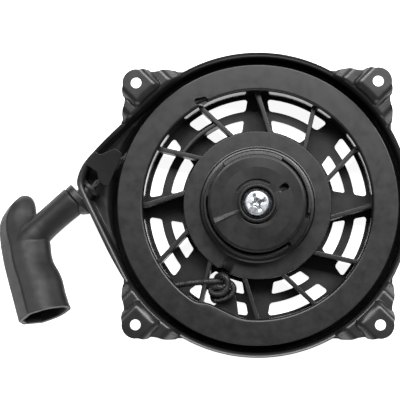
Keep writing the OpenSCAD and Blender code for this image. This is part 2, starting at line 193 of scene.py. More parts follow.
def makeTurnedSteel():
    # Turned and ground steel: fine rings round the axis
    settings = {"Metallic": 1.0, "Base Color": linearColour("#8d9094")}
    material, tree, shader = newMaterial("turnedSteel", settings)
    wave = {"wave_type": "RINGS", "rings_direction": "Z", "Scale": 1 / (6 * mm), "Distortion": 0.6,
            "Detail": 2.0}
    rings = addNode(tree, "ShaderNodeTexWave", wave, {"Vector": objectCoords(tree)}).outputs[1]
    roughen(tree, shader, noiseAt(tree, 2, 4), 0.26, 0.42)
    bump(tree, shader, rings, 0.01, 0.5)
    return material


def makeBlackSteel():
    # Oil-blacked steel washer: dark oxide with bare worn patches, oily
    material, tree, shader = newMaterial("oilBlackedSteel", {"Metallic": 1.0})
    tint(tree, shader, noiseAt(tree, 2.5, 4), "#1c1c1d", "#4a4b4d", 0.35, 0.75)
    roughen(tree, shader, noiseAt(tree, 1.5, 4), 0.3, 0.5)
    return material


def makeBronze():
    # Sintered bronze: dull, fine open pores full of oil
    material, tree, shader = newMaterial("sinteredBronze", {"Metallic": 1.0})
    scale, where = {"Scale": 1 / (0.5 * mm)}, {"Vector": objectCoords(tree)}
    pores = addNode(tree, "ShaderNodeTexVoronoi", scale, where).outputs[0]
    tint(tree, shader, pores, "#4d3520", "#a17a45", 0.1, 0.35)
    roughen(tree, shader, noiseAt(tree, 2, 3), 0.4, 0.55, 0.0, 1.0)
    bump(tree, shader, pores, 0.05, 0.5)
    return material


def makeBluedSpring():
    # Blued spring strip: dark blue-black oxide, oily
    material, tree, shader = newMaterial("bluedSpringSteel", {"Metallic": 1.0})
    tint(tree, shader, noiseAt(tree, 12, 3), "#20242c", "#3c4654")
    roughen(tree, shader, noiseAt(tree, 3, 4), 0.25, 0.4, 0.0, 1.0)
    return material


def makeBraid():
    # Braided nylon cord: dull black, mottled at the width of a strand and fuzzed with fibres
    settings = {"IOR": 1.53, "Sheen Weight": 0.03, "Sheen Roughness": 0.5}
    material, tree, shader = newMaterial("braidedNylon", settings)
    tint(tree, shader, noiseAt(tree, 1.1, 3), "#050505", "#121212", 0.3, 0.75)
    roughen(tree, shader, noiseAt(tree, 1.3, 3), 0.45, 0.6, 0.0, 1.0)
    bump(tree, shader, noiseAt(tree, 0.35, 3), 0.06, 0.6)
    return material


def makeGrip():
    # Moulded polypropylene: matt charcoal with a fine spark-eroded grain
    settings = {"IOR": 1.49, "Specular IOR Level": 0.3}
    material, tree, shader = newMaterial("grainedPolypropylene", settings)
    tint(tree, shader, noiseAt(tree, 18, 4), "#181717", "#211f20")
    roughen(tree, shader, noiseAt(tree, 5, 5), 0.42, 0.54)
    grain = bump(tree, shader, noiseAt(tree, 0.9, 4, 0.6), 0.09, 0.7)
    bump(tree, shader, noiseAt(tree, 14, 2), 0.25, 0.3, grain)
    return material


def makeAcetal():
    # Moulded acetal: smooth, black, waxy
    settings = {"IOR": 1.48, "Base Color": linearColour("#161616")}
    material, tree, shader = newMaterial("mouldedAcetal", settings)
    roughen(tree, shader, noiseAt(tree, 4, 4), 0.3, 0.45)
    bump(tree, shader, noiseAt(tree, 1.2, 3), 0.03, 0.4)
    return material


darkNylon = ("#0c0c0d", "#131314")
ecoat = makeEcoatSteel()
nylon = makeGlassNylon("glassFilledNylon", 0.33, 0.44, darkNylon)
coreNylon = makeGlassNylon("polishedNylon", 0.07, 0.14, darkNylon)  # the drum's polished inner wall
plateNylon = makeGlassNylon("mouldedNylon", 0.36, 0.5, ("#0c0c0d", "#151515"), 0.3)
zinc = makeZinc()
steel = makeTurnedSteel()
blackSteel = makeBlackSteel()
bronze = makeBronze()
springSteel = makeBluedSpring()
braid = makeBraid()
gripPlastic = makeGrip()
acetal = makeAcetal()
print("materials made")


# ---- mesh helpers

def bevelSharp(bm, width, segments=2, minDegrees=32):
    least = math.radians(minDegrees)
    sharp = [edge for edge in bm.edges if edge.is_manifold and edge.calc_face_angle(0) > least]
    bmesh.ops.bevel(bm, geom=sharp, offset=width, offset_type="OFFSET", segments=segments,
                    profile=0.5, affect="EDGES", material=-1, clamp_overlap=True)


def newObject(name, bm):
    mesh = bpy.data.meshes.new(name)
    bm.to_mesh(mesh)
    bm.free()
    piece = bpy.data.objects.new(name, mesh)
    bpy.context.scene.collection.objects.link(piece)
    return piece


def wear(piece, *materials):
    piece.data.materials.clear()
    for material in materials:
        piece.data.materials.append(material)


def makePiece(name, bm, material, body=None, stands=(), smoothDegrees=32):
    bmesh.ops.remove_doubles(bm, verts=bm.verts, dist=1e-6)
    bmesh.ops.recalc_face_normals(bm, faces=bm.faces)
    piece = newObject(name, bm)
    wear(piece, material)
    finishPiece(piece, smoothDegrees)
    if body:
        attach(piece, body)
    if stands:
        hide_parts(*stands)
    return piece


def finishPiece(piece, smoothDegrees):
    piece.data.shade_smooth()
    piece.data.set_sharp_from_angle(angle=math.radians(smoothDegrees))
    if piece.modifiers.get("faceNormals") is None:
        piece.modifiers.new("faceNormals", "WEIGHTED_NORMAL").keep_sharp = True


def bakedMesh(piece):
    bpy.context.view_layer.update()
    shown = piece.evaluated_get(bpy.context.evaluated_depsgraph_get())
    return bpy.data.meshes.new_from_object(shown)


def combine(piece, other, operation):
    change = piece.modifiers.new("combine", "BOOLEAN")
    change.operation = operation
    change.solver = "MANIFOLD"
    change.object = other
    done = bakedMesh(piece)
    piece.modifiers.remove(change)
    piece.data = done
    bpy.data.objects.remove(other)


def cutWith(piece, cutter):
    combine(piece, cutter, "DIFFERENCE")


def joinedWith(piece, other):
    combine(piece, other, "UNION")


def tool(bm, name="tool"):
    bmesh.ops.recalc_face_normals(bm, faces=bm.faces)
    return newObject(name, bm)


def rodTool(radius, depth, place, segments):  # sizes in mm
    bm = bmesh.new()
    addRod(bm, radius, depth, place, segments)
    return tool(bm)


def spunTool(outline, steps, start=0.0, sweep=360.0):
    bm = bmesh.new()
    spinSolid(bm, outline, steps, start, sweep)
    return tool(bm)


def rounded(corners, segments=4):  # corners are (a, b, radius) in mm; gives the outline in metres
    outline = []
    count = len(corners)
    for i, (a, b, radius) in enumerate(corners):
        here = Vector((a, b))
        before = Vector(corners[i - 1][:2])
        after = Vector(corners[(i + 1) % count][:2])
        if radius <= 0:
            outline.append(here * mm)
            continue
        u = (before - here).normalized()
        v = (after - here).normalized()
        half = math.acos(max(-1, min(1, u.dot(v)))) / 2
        reach = min(radius / math.tan(half), (before - here).length * 0.49, (after - here).length * 0.49)
        r = reach * math.tan(half)
        centre = here + (u + v).normalized() * (r / math.sin(half))
        start = here + u * reach - centre
        turn = start.angle_signed(here + v * reach - centre)
        for k in range(segments + 1):
            outline.append((centre + Matrix.Rotation(-turn * k / segments, 2) @ start) * mm)
    return outline


def spinSolid(bm, outline, steps, start=0.0, sweep=360.0):
    c, s = math.cos(math.radians(start)), math.sin(math.radians(start))
    verts = [bm.verts.new((p[0] * c, p[0] * s, p[1])) for p in outline]
    edges = [bm.edges.new((verts[i], verts[(i + 1) % len(verts)])) for i in range(len(verts))]
    full = sweep >= 360
    done = bmesh.ops.spin(bm, geom=verts + edges, cent=(0, 0, 0), axis=(0, 0, 1), dvec=(0, 0, 0),
                          angle=math.radians(sweep), steps=steps, use_merge=full, use_duplicate=False)
    if not full:
        bmesh.ops.contextual_create(bm, geom=edges)
        last = [item for item in done["geom_last"] if isinstance(item, bmesh.types.BMEdge)]
        bmesh.ops.contextual_create(bm, geom=last)


def spinOpen(bm, line, steps):
    verts = [bm.verts.new((p[0], 0, p[1])) for p in line]
    edges = [bm.edges.new((verts[i], verts[i + 1])) for i in range(len(verts) - 1)]
    bmesh.ops.spin(bm, geom=verts + edges, cent=(0, 0, 0), axis=(0, 0, 1), dvec=(0, 0, 0),
                   angle=tau, steps=steps, use_merge=True, use_duplicate=False)


def addPrism(bm, outline, z0, z1):  # outline is a list of points in metres
    base = bm.faces.new([bm.verts.new((p[0], p[1], z0)) for p in outline])
    lifted = bmesh.ops.extrude_face_region(bm, geom=[base], use_keep_orig=True)
    moved = [item for item in lifted["geom"] if isinstance(item, bmesh.types.BMVert)]
    bmesh.ops.translate(bm, vec=(0, 0, z1 - z0), verts=moved)


def addRod(bm, radius, depth, matrix, segments):  # sizes in mm; it stands on the matrix's origin
    bmesh.ops.create_cone(bm, cap_ends=True, segments=segments, radius1=radius * mm,
                          radius2=radius * mm, depth=depth * mm,
                          matrix=matrix @ Matrix.Translation((0, 0, depth * mm / 2)))


def addLoft(bm, rings):
    loops = []
    for ring in rings:
        verts = [bm.verts.new(p) for p in ring]
        loops.append([bm.edges.new((verts[i], verts[(i + 1) % len(verts)])) for i in range(len(verts))])
    for first, second in zip(loops, loops[1:]):
        bmesh.ops.bridge_loops(bm, edges=first + second)
    bmesh.ops.contextual_create(bm, geom=loops[0])
    bmesh.ops.contextual_create(bm, geom=loops[-1])


# ---- housing

housing = {
    "wall": 91.8, "sheet": 1.5, "rim": -12.0, "lip": 1.2, "lowLip": 2.6, "bend": 1.1,
    "columns": 960, "holeHalf": 73.0, "holeRadius": 3.25, "earTip": 8.3, "earWaist": 0.9,
    "pad": (7.0, 10.8), "padInner": (-11.6, -8.0), "flank": (15, 23), "flankRise": 0.66,
    "wallBend": 6.0, "wallStart": 10.5, "rowGap": 0.5, "ropeHole": 5.6,
    "noseFloor": -29.0, "noseBend": 2.2, "noseLow": 206.5, "noseUp": 132.5, "noseSharp": 90,
    "noseCorners": [(-99.2, 33.0), (-105.5, 24.4), (-108.5, 12.6)],
    "vents": [(48.0, 55.0), (60.5, 68.0)], "webs": 8, "webWidth": 19.0, "webTaper": 0.354,
    "ventCorner": 2.3,
}


def noseReach(degrees):
    wall = housing["wall"]
    if not housing["noseUp"] < degrees < housing["noseLow"]:
        return wall
    line = [polar(wall, housing["noseUp"]).to_2d()] + [Vector(c) for c in housing["noseCorners"]]
    line.append(polar(wall, housing["noseLow"]).to_2d())
    ray = polar(1, degrees).to_2d()
    total = 0
    sharp = housing["noseSharp"]
    for a, b in zip(line, line[1:]):
        normal = Vector((a.y - b.y, b.x - a.x)).normalized()
        if normal.dot(a) < 0:
            normal.negate()
        # a soft least, which rounds the corners
        total += (normal.dot(a) / max(0.05, normal.dot(ray))) ** -sharp
    return max(wall, total ** (-1 / sharp))


def earReach(degrees):
    turn = math.radians(abs(degrees % 90 - 45))
    half, tip = housing["holeHalf"], housing["earTip"]
    away = half * math.sqrt(2)
    if turn > math.radians(45) - math.atan2(half, half + tip):
        across = away * math.tan(turn)
        waist = housing["earWaist"] * math.exp(-((across - 12) / 4) ** 2)
        return (half + tip - waist) / math.cos(math.radians(45) - turn)
    return away * math.cos(turn) + math.sqrt(max(0, tip ** 2 - (away * math.sin(turn)) ** 2))


def hat(x, y):  # how far the flange rises from the rim to the ears' pads, from 0 to 1
    away = math.hypot(x, y)
    turn = math.radians(math.degrees(math.atan2(y, x)) % 90 - 45)
    across, along = abs(away * math.sin(turn)), away * math.cos(turn)
    pad = 1 - easeStep(across, *housing["pad"])
    pad *= easeStep(along - housing["holeHalf"] * math.sqrt(2), *housing["padInner"])
    flank = housing["flankRise"] * (1 - easeStep(across, *housing["flank"]))
    return flank + (1 - flank) * pad


def housingLine():  # radius and height of each row from the post's collar out to the wall's bend
    dome = domeZ / mm
    bend, middle = housing["wallBend"], dome + housing["wallStart"]
    line = [(6.6, dome + 2), (10, dome + 2), (14.2, dome + 2), (15.2, dome + 1.8), (17, dome + 0.3),
            (18, dome), (30, dome), (44, dome), (46, dome + 0.5), (57.7, dome + 0.5),
            (70, dome + 0.5), (72, dome), (74.4, dome + 0.15)]
    for degrees in range(-68, -7, 6):
        turn = math.radians(degrees)
        line.append((housing["wall"] - bend + bend * math.cos(turn), middle + bend * math.sin(turn)))
    return line


rowCounts = {"floor": 5, "floorBend": 4, "up": 8, "rimBend": 5, "flange": 14}


def rimPlace(row, ray, degrees):  # radius and height of one row's point, in mm
    wall, floor, sheet = housing["wall"], housing["noseFloor"], housing["sheet"]
    start = domeZ / mm + housing["wallStart"]
    nose = noseReach(degrees)
    morph = min(1.0, max(0.0, (nose - wall - 0.5) / 6))
    low = easeStep(degrees, 160, 172) * (1 - easeStep(degrees, 196, 214))
    lip = housing["lip"] + (housing["lowLip"] - housing["lip"]) * low
    reach = max(earReach(degrees), nose + lip)
    top = housing["rim"] * (1 - hat(ray.x * nose, ray.y * nose)) - sheet
    bend = housing["bend"]
    turnRadius = housing["noseBend"]
    if row < rowCounts["floor"]:
        share = (row + 1) / rowCounts["floor"]
        flat = Vector((wall + max(0, nose - turnRadius - wall) * share, floor))
        return Vector((wall, start + (floor - start) * share)).lerp(flat, morph)
    row -= rowCounts["floor"]
    if row < rowCounts["floorBend"]:
        turn = math.radians(90 * (row + 1) / rowCounts["floorBend"])
        across = max(wall, nose - turnRadius + turnRadius * math.sin(turn))
        flat = Vector((across, floor + turnRadius * (1 - math.cos(turn))))
        return Vector((nose, floor + 0.55 * (row + 1))).lerp(flat, morph)
    row -= rowCounts["floorBend"]
    if row < rowCounts["up"]:
        share = (row + 1) / rowCounts["up"]
        low = floor + turnRadius
        return Vector((nose, low + (top - bend - low) * share))
    row -= rowCounts["up"]
    if row < rowCounts["rimBend"]:
        turn = math.radians(90 * (row + 1) / rowCounts["rimBend"])
        return Vector((nose + bend * (1 - math.cos(turn)), top - bend + bend * math.sin(turn)))
    row -= rowCounts["rimBend"]
    share = (row + 1) / rowCounts["flange"]
    radius = nose + bend + (reach - nose - bend) * share
    return Vector((radius, housing["rim"] * (1 - hat(ray.x * radius, ray.y * radius)) - sheet))


def buildHousing():
    base = housingLine()
    rows = sum(rowCounts.values())
    wall, gap = housing["wall"], housing["rowGap"]
    # the rim's rows start as flat rings, so that a ring's radius tells which row it is
    line = base + [(wall + gap * (i + 1), -20) for i in range(rows)]
    bm = bmesh.new()
    spinOpen(bm, [(r * mm, z * mm) for r, z in line], housing["columns"])
    for vert in bm.verts:
        radius = math.hypot(vert.co.x, vert.co.y) / mm
        if radius < wall + 0.4 * gap:
            continue
        degrees = math.degrees(math.atan2(vert.co.y, vert.co.x)) % 360
        ray = polar(1, degrees)
        place = rimPlace(round((radius - wall) / gap) - 1, ray, degrees)
        vert.co = ray * (place.x * mm)
        vert.co.z = place.y * mm
    bmesh.ops.recalc_face_normals(bm, faces=bm.faces)
    under = next(f for f in bm.faces if f.calc_center_median().z < domeZ + 0.1 * mm)
    if under.normal.z > 0:
        bmesh.ops.reverse_faces(bm, faces=bm.faces)
    shell = newObject("shell", bm)
    sheet = shell.modifiers.new("sheet", "SOLIDIFY")
    sheet.thickness = housing["sheet"] * mm
    sheet.offset = -1
    bm = bmesh.new()
    bm.from_mesh(bakedMesh(shell))
    piece = makePiece("starterHousing", bm, ecoat)
    bpy.data.objects.remove(shell)
    cuts = bmesh.new()
    for web in range(housing["webs"]):
        for inner, outer in housing["vents"]:
            outline = ventOutline(inner, outer, (web + 0.5) * 360 / housing["webs"])
            addPrism(cuts, outline, domeZ - 2 * mm, domeZ + 4 * mm)
    hole = housing["holeHalf"] * mm
    for x in (-1, 1):
        for y in (-1, 1):
            spot = Matrix.Translation((x * hole, y * hole, -6 * mm))
            addRod(cuts, housing["holeRadius"], 12, spot, 40)
    addRod(cuts, housing["ropeHole"], 12, ropeMatrix(66), 40)
    cutWith(piece, tool(cuts))
    finishPiece(piece, 40)
    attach(piece, "housing")
    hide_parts("starter_housing")


def webHalf(radius):
    return (housing["webWidth"] - housing["webTaper"] * (radius - 49.4)) / 2


def ventOutline(inner, outer, middle):
    half = 180 / housing["webs"]
    low = half - math.degrees(math.asin(webHalf(inner) / inner))
    high = half - math.degrees(math.asin(webHalf(outer) / outer))
    corners = []
    steps = 10
    for i in range(steps + 1):  # outer arc, then the inner arc back
        p = polar(outer, high * (2 * i / steps - 1))
        corners.append((p.x, p.y, housing["ventCorner"] if i in (0, steps) else 0))
    for i in range(steps + 1):
        p = polar(inner, low * (1 - 2 * i / steps))
        corners.append((p.x, p.y, housing["ventCorner"] if i in (0, steps) else 0))
    turn = Matrix.Rotation(math.radians(middle), 2)
    return [turn @ p for p in rounded(corners, 5)]


tabShape = {
    "outline": [(-91.0, 11.8, 0.8), (-82.2, 31.2, 1.0), (-87.0, 34.2, 1.8), (-91.8, 31.9, 2.5),
                (-96.1, 30.5, 1.6), (-99.0, 32.4, 0.4), (-104.8, 24.2, 0.4), (-102.6, 23.2, 1.2),
                (-98.0, 20.2, 1.4), (-97.1, 14.8, 1.4), (-94.5, 12.3, 1.2)],
    "top": -11.5, "sheet": 1.5, "lean": 0.2, "level": 23,
}


def buildTab():  # a tongue of the same sheet, folded over the rope
    bm = bmesh.new()
    low, top = (tabShape["top"] - tabShape["sheet"]) * mm, tabShape["top"] * mm
    addPrism(bm, rounded(tabShape["outline"], 4), low, top)
    bevelSharp(bm, 0.55 * mm, 2, 50)
    for vert in bm.verts:
        vert.co.z += tabShape["lean"] * (vert.co.y - tabShape["level"] * mm)
    makePiece("guideTab", bm, ecoat, "housing", ["starter_housing"])


buildHousing()
buildTab()
print("housing made")


# ---- pulley

pulley = {
    "ring": 86.0, "drum": 69.7, "groove": 71.8, "top": -14.0, "low": -36.0, "swell": 2.8,
    "hub": 45.5, "hubTop": -20.0, "bore": 9.2, "boss": 32.8, "bossTop": -8.4, "bossFloor": -15.0,
    "ribs": 12, "ribWidth": 2.8, "twist": 10.5, "wallTurns": (0, 180), "screwTurns": (60, 180, 300),
    "dogPin": (2.5, 22), "screwPost": (3.6, 39.2),
    # radius, distance from the axis, direction and level of the pocket beside the knot, then of the
    # three rods that cut one notch into the ring's inner edge
    "cuts": [(7.5, 51.4, -117, -25.5), (2.3, 71.8, 116.9, -18), (2.5, 72.0, 118.4, -18),
             (2.0, 73.2, 119.8, -18)],
    "ropeHole": 2.6,
}


def buildPulley():
    p = pulley
    bm = bmesh.new()
    outline = rounded([
        (p["drum"], p["low"], 0.4), (p["groove"], p["low"], 0.4), (p["groove"], -27, 1),
        (p["groove"] + 3, -24, 0.8), (p["ring"] - 1, -24, 0.7), (p["ring"] - 1, -21.8, 0.7),
        (p["groove"], -21.8, 0.6), (p["groove"], -16.2, 0.6), (p["ring"], -16.2, 0.7),
        (p["ring"], p["top"], 0.9), (p["drum"], p["top"], 1.9)], 5)
    spinSolid(bm, outline, 256)
    for vert in bm.verts:  # the ring swells inwards beside the rope's knot
        radius = math.hypot(vert.co.x, vert.co.y)
        turn = math.degrees(math.atan2(vert.co.y, vert.co.x)) % 360
        if radius < 71.4 * mm and vert.co.z > -20 * mm:
            swell = easeStep(turn, 236, 245) * (1 - easeStep(turn, 247, 266)) * p["swell"] * mm
            vert.co.x *= 1 - swell / radius
            vert.co.y *= 1 - swell / radius
    base = makePiece("ropePulley", bm, nylon)
    bm = bmesh.new()
    for i in range(p["ribs"]):
        angle = i * 360 / p["ribs"]
        inner = polar((p["hub"] - 1.0) * mm, angle - p["twist"])
        outer = polar((p["drum"] + 0.8) * mm, angle)
        run, middle = outer - inner, (inner + outer) / 2
        height = (p["hubTop"] - 0.55 - p["low"]) * mm
        place = Matrix.Translation((middle.x, middle.y, p["low"] * mm + height / 2))
        place = place @ Matrix.Rotation(math.atan2(run.y, run.x), 4, "Z")
        size = Matrix.Diagonal((run.length, p["ribWidth"] * mm, height, 1))
        bmesh.ops.create_cube(bm, size=1, matrix=place @ size)
    bevelSharp(bm, 0.5 * mm, 3)
    joinedWith(base, tool(bm))
    web = rounded([(55, p["low"], 0.3), (57.4, p["low"], 0.3), (57.4, -22, 0.6), (55, -22, 0.6)], 3)
    joinedWith(base, spunTool(web, 24, 114, 30))
    hub = rounded([
        (p["bore"], -24, 0.3), (p["hub"] - 2.2, -24, 0.6), (p["hub"] - 2.2, p["low"], 0.4),
        (p["hub"], p["low"], 0.4), (p["hub"], p["hubTop"], 0.5), (p["boss"] + 2.6, p["hubTop"], 1.5),
        (p["boss"] + 1.8, p["hubTop"] + 1.0, 0.5), (p["boss"], p["hubTop"] + 1.4, 0.4),
        (p["boss"], p["bossFloor"], 0.5), (p["bore"], p["bossFloor"], 0.3)], 4)
    joinedWith(base, spunTool(hub, 192))
    bossWall = rounded([
        (p["boss"] - 2, p["bossFloor"] - 1, 0), (p["boss"], p["bossFloor"] - 1, 0),
        (p["boss"], p["bossTop"], 0.7), (p["boss"] - 2, p["bossTop"], 0.5)], 4)
    pinRadius, pinAway = p["dogPin"]
    for turn in p["wallTurns"]:
        joinedWith(base, spunTool(bossWall, 72, turn - 10, 136))
        spot = Matrix.Translation(polar(pinAway * mm, turn - 75, -16 * mm))
        joinedWith(base, rodTool(pinRadius, 7.3, spot, 32))
    postRadius, postAway = p["screwPost"]
    for turn in p["screwTurns"]:
        spot = Matrix.Translation(polar(postAway * mm, turn, -34.8 * mm))
        joinedWith(base, rodTool(postRadius, 12, spot, 32))
    for radius, away, turn, level in p["cuts"]:
        spot = Matrix.Translation(polar(away * mm, turn, level * mm))
        cutWith(base, rodTool(radius, 12, spot, 40))
    spot = Matrix.Translation((-56.6 * mm, -47.1 * mm, ropeZ))
    spot = spot @ Matrix.Rotation(math.radians(90), 4, "Y")
    cutWith(base, rodTool(p["ropeHole"], 9, spot, 40))
    wear(base, nylon, coreNylon)
    for face in base.data.polygons:
        away = face.center.to_2d().length
        facesIn = face.normal.to_2d().dot(face.center.to_2d()) < -0.8 * away
        if facesIn and abs(away - p["drum"] * mm) < 1.2 * mm:
            face.material_index = 1
    finishPiece(base, 38)
    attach(base, "pulley")
    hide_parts("pulley")


buildPulley()
print("pulley made")


# ---- retainer, screw and washer

retainer = {
    "lobes": [(-50, 33, 33.4), (60, 71, 32.3)], "ramp": (199.5, 206.5), "rampRise": 0.9, "warp": 0.11,
    # inner and outer radius, first direction and sweep of the face's grooves
    "arcs": [(13.35, 14.25, 57, 93), (11.75, 12.65, 225, 115)], "arcDepth": 0.7,
    "keyhole": (2.2, 19.4), "slot": (7.4, 0.9, 2.8), "slotTurn": 30,
}
plate = {
    "corners": [(-24, -53.5, 1), (-15, -50.8, 1), (-13.2, -57.5, 1.5), (-11.6, -69.5, 0.4),
                (-30.5, -63.8, 0.4), (-25.4, -60.3, 1.5)],
    "low": -30.2, "top": -28.4,
}
screw = {"shank": 3, "head": 7.7, "seat": -3.2, "recess": (8.6, 2.0, 3.6), "turns": (20, 110),
         "narrow": 0.5}
washer = {"hole": 3.1, "rim": 9.2, "low": -4.2, "top": -3.2}


def retainerTop(radius, turn):  # how much higher or lower the plate's face is moulded there, in mm
    rise = 0
    if 11.5 < radius < 29.4:
        low, high = retainer["ramp"]
        if low < turn <= high and radius < 28.4:
            rise += retainer["rampRise"] * ((turn - low) / (high - low)) ** 1.1
        wave = math.sin(math.radians(2 * turn) + radius * 0.22)
        wave += math.sin(math.radians(3 * turn) - radius * 0.4)
        rise += retainer["warp"] * wave
    for inner, outer, first, sweep in retainer["arcs"]:
        if inner - 0.01 < radius < outer + 0.01 and (turn - first) % 360 < sweep:
            rise -= retainer["arcDepth"]
    return rise


def buildKnotPlate():  # the web of the pulley below the rope's knot
    bm = bmesh.new()
    addPrism(bm, rounded(plate["corners"], 4), plate["low"] * mm, plate["top"] * mm)
    bevelSharp(bm, 0.4 * mm, 2, 50)
    makePiece("knotPlate", bm, nylon, "pulley", ["pulley"])


def buildRetainer():
    bm = bmesh.new()
    face = [(29.8, -8, 0.3), (29.8, -4.1, 0.7), (28.0, -3.5, 2.0), (22, -3.36, 8), (14.9, -3.2, 0.5)]
    grooves = [(14.35, -3.2, 0), (14.25, -3.2, 0), (13.35, -3.2, 0), (13.25, -3.2, 0),
               (12.75, -3.2, 0), (12.65, -3.2, 0), (11.75, -3.2, 0), (11.65, -3.2, 0)]
    collar = [(11.5, -3.1, 0), (11.5, -1, 0.6), (9.7, -1, 0.5), (9.7, -4.35, 0.2), (7.1, -4.35, 0.2),
              (7.1, -8, 0.3)]
    spinSolid(bm, rounded(face + grooves + collar, 3), 360)
    for vert in bm.verts:
        if vert.co.z > -4.3 * mm:
            turn = math.degrees(math.atan2(vert.co.y, vert.co.x)) % 360
            vert.co.z += retainerTop(math.hypot(vert.co.x, vert.co.y) / mm, turn) * mm
    piece = makePiece("dogRetainer", bm, plateNylon)
    for first, sweep, reach in retainer["lobes"]:
        bm = bmesh.new()
        lobe = [(26, -8, 0), (reach, -8, 0.5), (reach, -5.4, 0.8), (29.2, -4.7, 0.8), (26, -4.7, 0)]
        spinSolid(bm, rounded(lobe, 4), 40, first, sweep)
        bevelSharp(bm, 0.4 * mm, 2, 60)
        joinedWith(piece, tool(bm))
    holeRadius, holeAway = retainer["keyhole"]
    turn = retainer["slotTurn"]
    spot = Matrix.Translation(polar(holeAway * mm, turn, -7.6 * mm))
    cutWith(piece, rodTool(holeRadius, 6, spot, 32))
    cuts = bmesh.new()
    slot = Matrix.Rotation(math.radians(turn), 4, "Z") @ Matrix.Translation((15.6 * mm, 0, -3.4 * mm))
    size = Matrix.Diagonal([side * mm for side in retainer["slot"]] + [1])
    bmesh.ops.create_cube(cuts, size=1, matrix=slot @ size)
    cutWith(piece, tool(cuts))
    wear(piece, plateNylon)
    finishPiece(piece, 38)
    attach(piece, "retainer")
    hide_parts("retainer")


def buildScrew():
    bm = bmesh.new()
    shank, head, seat = screw["shank"], screw["head"], screw["seat"]
    spinSolid(bm, rounded([(0.001, -18, 0), (shank, -18, 0.4), (shank, seat, 0.2), (head, seat, 0.3),
                           (head, -1.2, 0.7), (head - 0.8, -0.2, 1.2), (3.2, 0.1, 1),
                           (0.001, 0.1, 0)], 5), 96)
    bmesh.ops.remove_doubles(bm, verts=bm.verts, dist=2e-6)
    piece = makePiece("centreScrew", bm, zinc)
    size = Matrix.Diagonal([side * mm for side in screw["recess"]] + [1])
    for turn in screw["turns"]:
        cuts = bmesh.new()
        place = Matrix.Rotation(math.radians(turn), 4, "Z") @ Matrix.Translation((0, 0, -0.4 * mm))
        bmesh.ops.create_cube(cuts, size=1, matrix=place @ size)
        for vert in cuts.verts:
            if vert.co.z < -1 * mm:  # the recess narrows downwards
                vert.co.x *= screw["narrow"]
                vert.co.y *= screw["narrow"]
        cutWith(piece, tool(cuts))
    wear(piece, zinc)
    finishPiece(piece, 35)
    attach(piece, "housing")
    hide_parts("centre_screw")


def buildWasher():
    bm = bmesh.new()
    hole, rim, low, top = (washer[key] for key in ("hole", "rim", "low", "top"))
    outline = [(hole, low, 0.15), (rim, low, 0.2), (rim, top, 0.3), (hole, top, 0.2)]
    spinSolid(bm, rounded(outline, 3), 96)
    makePiece("screwWasher", bm, blackSteel, "housing", ["screw_washer"])


buildKnotPlate()
buildRetainer()
buildScrew()
buildWasher()
print("clutch made")


# ---- rope, eyelet

rope = {
    "diameter": 4.1, "ring": 48, "step": 0.35, "runStep": 0.7, "pitch": 9.0, "strands": 12,
    "relief": 0.42, "turns": 3, "groove": 71.9, "coilStep": 3.95,
}
knot = {"points": 13, "share": 13.4, "start": 0.6, "loop": 0.9, "lobe": 1.35, "spread": 0.42,
        "lift": 0.34, "size": 6.5}


def smoothPath(points, step):  # a Catmull-Rom curve through the points, resampled evenly
    dense = []
    padded = [points[0] * 2 - points[1]] + points + [points[-1] * 2 - points[-2]]
    for i in range(1, len(padded) - 2):
        a, b, c, d = padded[i - 1:i + 3]
        for k in range(40):
            u = k / 40
            straight, curved = (c - a) * u, (2 * a - 5 * b + 4 * c - d) * u * u
            dense.append(0.5 * (2 * b + straight + curved + (3 * b - a - 3 * c + d) * u ** 3))
    dense.append(points[-1].copy())
    path, carried = [dense[0]], 0.0
    for first, second in zip(dense, dense[1:]):
        length = (second - first).length
        while length > 0 and carried + length >= step:
            first = first.lerp(second, (step - carried) / length)
            path.append(first)
            length = (second - first).length
            carried = 0.0
        carried += length
    return path


def addBraid(bm, points, stepMm):
    step = stepMm * mm
    path = smoothPath(points, step)
    radius = rope["diameter"] / 2 * mm
    relief = rope["relief"] * mm
    rings = []
    side = None
    for i, here in enumerate(path):
        along = (path[min(i + 1, len(path) - 1)] - path[max(i - 1, 0)]).normalized()
        if side is None:
            side = along.orthogonal().normalized()
        side = (side - along * side.dot(along)).normalized()
        other = along.cross(side)
        ring = []
        lay = tau * i * step / (rope["pitch"] * mm)
        for k in range(rope["ring"]):
            turn = tau * k / rope["ring"]
            left = math.cos(rope["strands"] / 2 * (turn + lay))
            right = math.cos(rope["strands"] / 2 * (turn - lay))
            height = radius - relief + relief * max(left, right) ** 2
            ring.append(here + side * (math.cos(turn) * height) + other * (math.sin(turn) * height))
        rings.append(ring)
    addLoft(bm, rings)


def knotPoints(centre, along, across):  # an overhand knot: the end goes round and through
    up = along.cross(across)
    points = []
    for k in range(knot["points"]):
        t = tau * (k + knot["start"]) / knot["share"]
        a = (knot["loop"] * math.sin(t) + knot["lobe"] * math.sin(2 * t)) * knot["spread"]
        b = (knot["loop"] * math.cos(t) - knot["lobe"] * math.cos(2 * t)) * knot["spread"]
        c = -math.sin(3 * t) * knot["lift"]
        points.append(centre + (along * a + across * b + up * c) * knot["size"] * mm)
    return points


